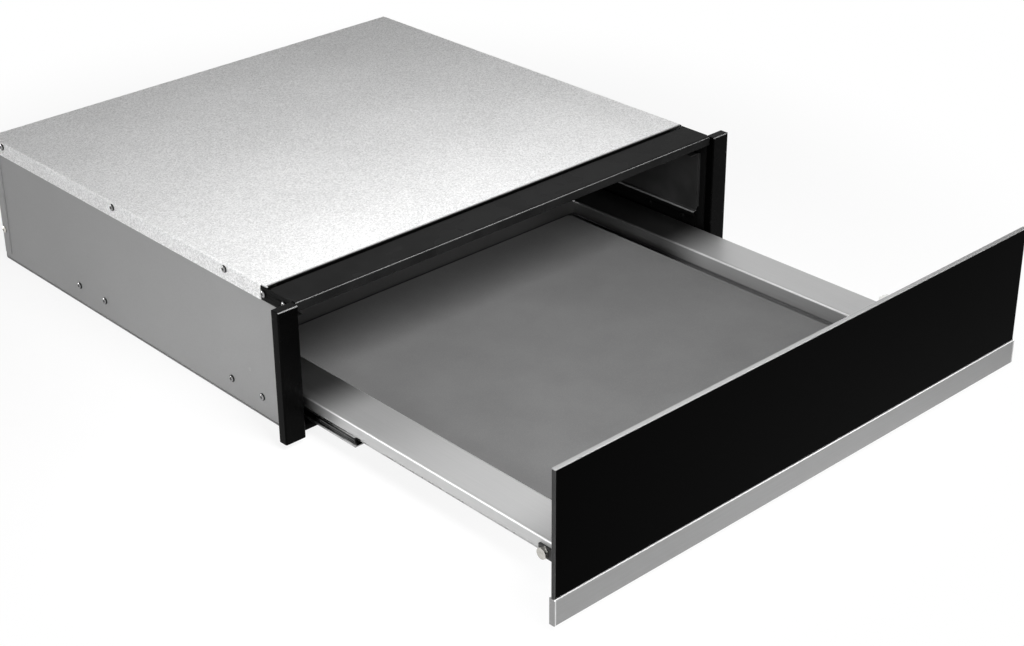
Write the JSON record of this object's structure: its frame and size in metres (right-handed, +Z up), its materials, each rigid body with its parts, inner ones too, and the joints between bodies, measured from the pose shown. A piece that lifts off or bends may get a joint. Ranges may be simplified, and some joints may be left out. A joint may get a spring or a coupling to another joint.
{
  "type": "built-in warming drawer",
  "caption": "Push-open warming drawer for a kitchen carcass: heated sheet-steel case, steel tray with mat on ball-bearing runners, dark glass front with a steel trim",
  "frame": {"origin": "middle of the case's underside, on the surface that the case stands on", "axes": "+X right seen from the front, +Y to the back, +Z up; the drawer comes out along -Y"},
  "size_m": [0.596, 0.876, 0.145],
  "materials": {
    "galvanised": "galvanised sheet, satin",
    "black_paint": "black powder coat, satin",
    "stainless": "brushed stainless steel",
    "runner_steel": "bright zinc plate",
    "zinc": "bright zinc plate",
    "dark_bracket": "black passivated steel",
    "black_glass": "black back-painted toughened glass, polished",
    "rubber_mat": "anti-slip mat, fine texture",
    "rubber": "soft black rubber",
    "black_plastic": "black moulded plastic",
    "white_plastic": "heat-proof moulding",
    "wool": "mineral wool mat",
    "heater": "oxidised heater tube",
    "motor": "plain steel and varnish",
    "aluminium": "plain aluminium",
    "lamp": "amber lens"
  },
  "bodies": {
    "case": {"base_panel": "galvanised", "left_side_panel": "galvanised", "right_side_panel": "galvanised", "top_cover": "galvanised", "rear_panel": "galvanised", "frame_top_beam": "black_paint", "frame_sill": "black_paint", "left_post": "black_paint", "right_post": "black_paint", "left_liner_wall": "black_paint", "right_liner_wall": "black_paint", "liner_ceiling": "black_paint", "liner_back": "black_paint", "insulation_mat": "wool", "air_duct": "galvanised", "heater_ring": "heater", "fan_motor": "motor", "thermal_cutout": "black_plastic", "terminal_block": "white_plastic", "cable_gland": "black_plastic", "catch_housing": "black_plastic", "left_runner_brackets": "zinc", "right_runner_brackets": "zinc", "left_runner_cabinet_member": "runner_steel", "right_runner_cabinet_member": "runner_steel", "cover_screws": "zinc", "frame_screws": "zinc", "post_screws": "zinc", "side_screws": "zinc", "rear_screws": "zinc", "liner_screws": "zinc"},
    "drawer": {"catch_striker": "zinc", "left_runner_drawer_member": "runner_steel", "right_runner_drawer_member": "runner_steel", "tray": "stainless", "mat": "rubber_mat", "front_carrier": "galvanised", "front_inner_panel": "stainless", "front_glass": "black_glass", "front_trim": "stainless", "left_front_bracket": "dark_bracket", "right_front_bracket": "dark_bracket", "front_bolts": "zinc", "front_bumpers": "rubber", "control_housing": "black_plastic", "thermostat": "zinc", "switch_frame": "black_plastic", "lamp_lens": "lamp", "carrier_screws": "zinc"},
    "left_runner_middle": {"left_runner_middle_member": "runner_steel"},
    "right_runner_middle": {"right_runner_middle_member": "runner_steel"},
    "left_lower_cage": {"left_lower_ball_cage": "runner_steel"},
    "right_lower_cage": {"right_lower_ball_cage": "runner_steel"},
    "left_upper_cage": {"left_upper_ball_cage": "runner_steel"},
    "right_upper_cage": {"right_upper_ball_cage": "runner_steel"},
    "impeller": {"fan_impeller": "aluminium"},
    "hook": {"catch_hook": "zinc"},
    "knob": {"thermostat_knob": "black_plastic"},
    "rocker": {"power_rocker": "black_plastic"}
  },
  "joints": [
    {"name": "drawer_slide", "type": "slide", "parent": "case", "child": "drawer", "axis": [0, -1, 0], "range_m": [-0.3415, 0.06]},
    {"name": "left_runner_middle_slide", "type": "slide", "parent": "case", "child": "left_runner_middle", "axis": [0, -1, 0], "range_m": [-0.17075, 0.03]},
    {"name": "left_lower_cage_slide", "type": "slide", "parent": "case", "child": "left_lower_cage", "axis": [0, -1, 0], "range_m": [-0.08538, 0.015]},
    {"name": "left_upper_cage_slide", "type": "slide", "parent": "case", "child": "left_upper_cage", "axis": [0, -1, 0], "range_m": [-0.25612, 0.045]},
    {"name": "right_runner_middle_slide", "type": "slide", "parent": "case", "child": "right_runner_middle", "axis": [0, -1, 0], "range_m": [-0.17075, 0.03]},
    {"name": "right_lower_cage_slide", "type": "slide", "parent": "case", "child": "right_lower_cage", "axis": [0, -1, 0], "range_m": [-0.08538, 0.015]},
    {"name": "right_upper_cage_slide", "type": "slide", "parent": "case", "child": "right_upper_cage", "axis": [0, -1, 0], "range_m": [-0.25612, 0.045]},
    {"name": "impeller_spin", "type": "hinge", "parent": "case", "child": "impeller", "pos_m": [0, 0.23, 0.074], "axis": [0, 1, 0], "continuous": true},
    {"name": "hook_swing", "type": "hinge", "parent": "case", "child": "hook", "pos_m": [0.0144, 0.1965, 0.005], "axis": [0, 0, 1], "range_deg": [-45, 0]},
    {"name": "knob_turn", "type": "hinge", "parent": "drawer", "child": "knob", "pos_m": [0.15222, -0.5755, 0.092], "axis": [0, 0, 1], "range_deg": [-270, 0]},
    {"name": "rocker_tilt", "type": "hinge", "parent": "drawer", "child": "rocker", "pos_m": [0.19694, -0.5755, 0.0925], "axis": [1, 0, 0], "range_deg": [-12, 0]}
  ],
  "couplings": [
    {"joint": "left_runner_middle_slide", "follows": "drawer_slide", "ratio": 0.5},
    {"joint": "left_lower_cage_slide", "follows": "drawer_slide", "ratio": 0.25},
    {"joint": "left_upper_cage_slide", "follows": "drawer_slide", "ratio": 0.75},
    {"joint": "right_runner_middle_slide", "follows": "drawer_slide", "ratio": 0.5},
    {"joint": "right_lower_cage_slide", "follows": "drawer_slide", "ratio": 0.25},
    {"joint": "right_upper_cage_slide", "follows": "drawer_slide", "ratio": 0.75}
  ]
}
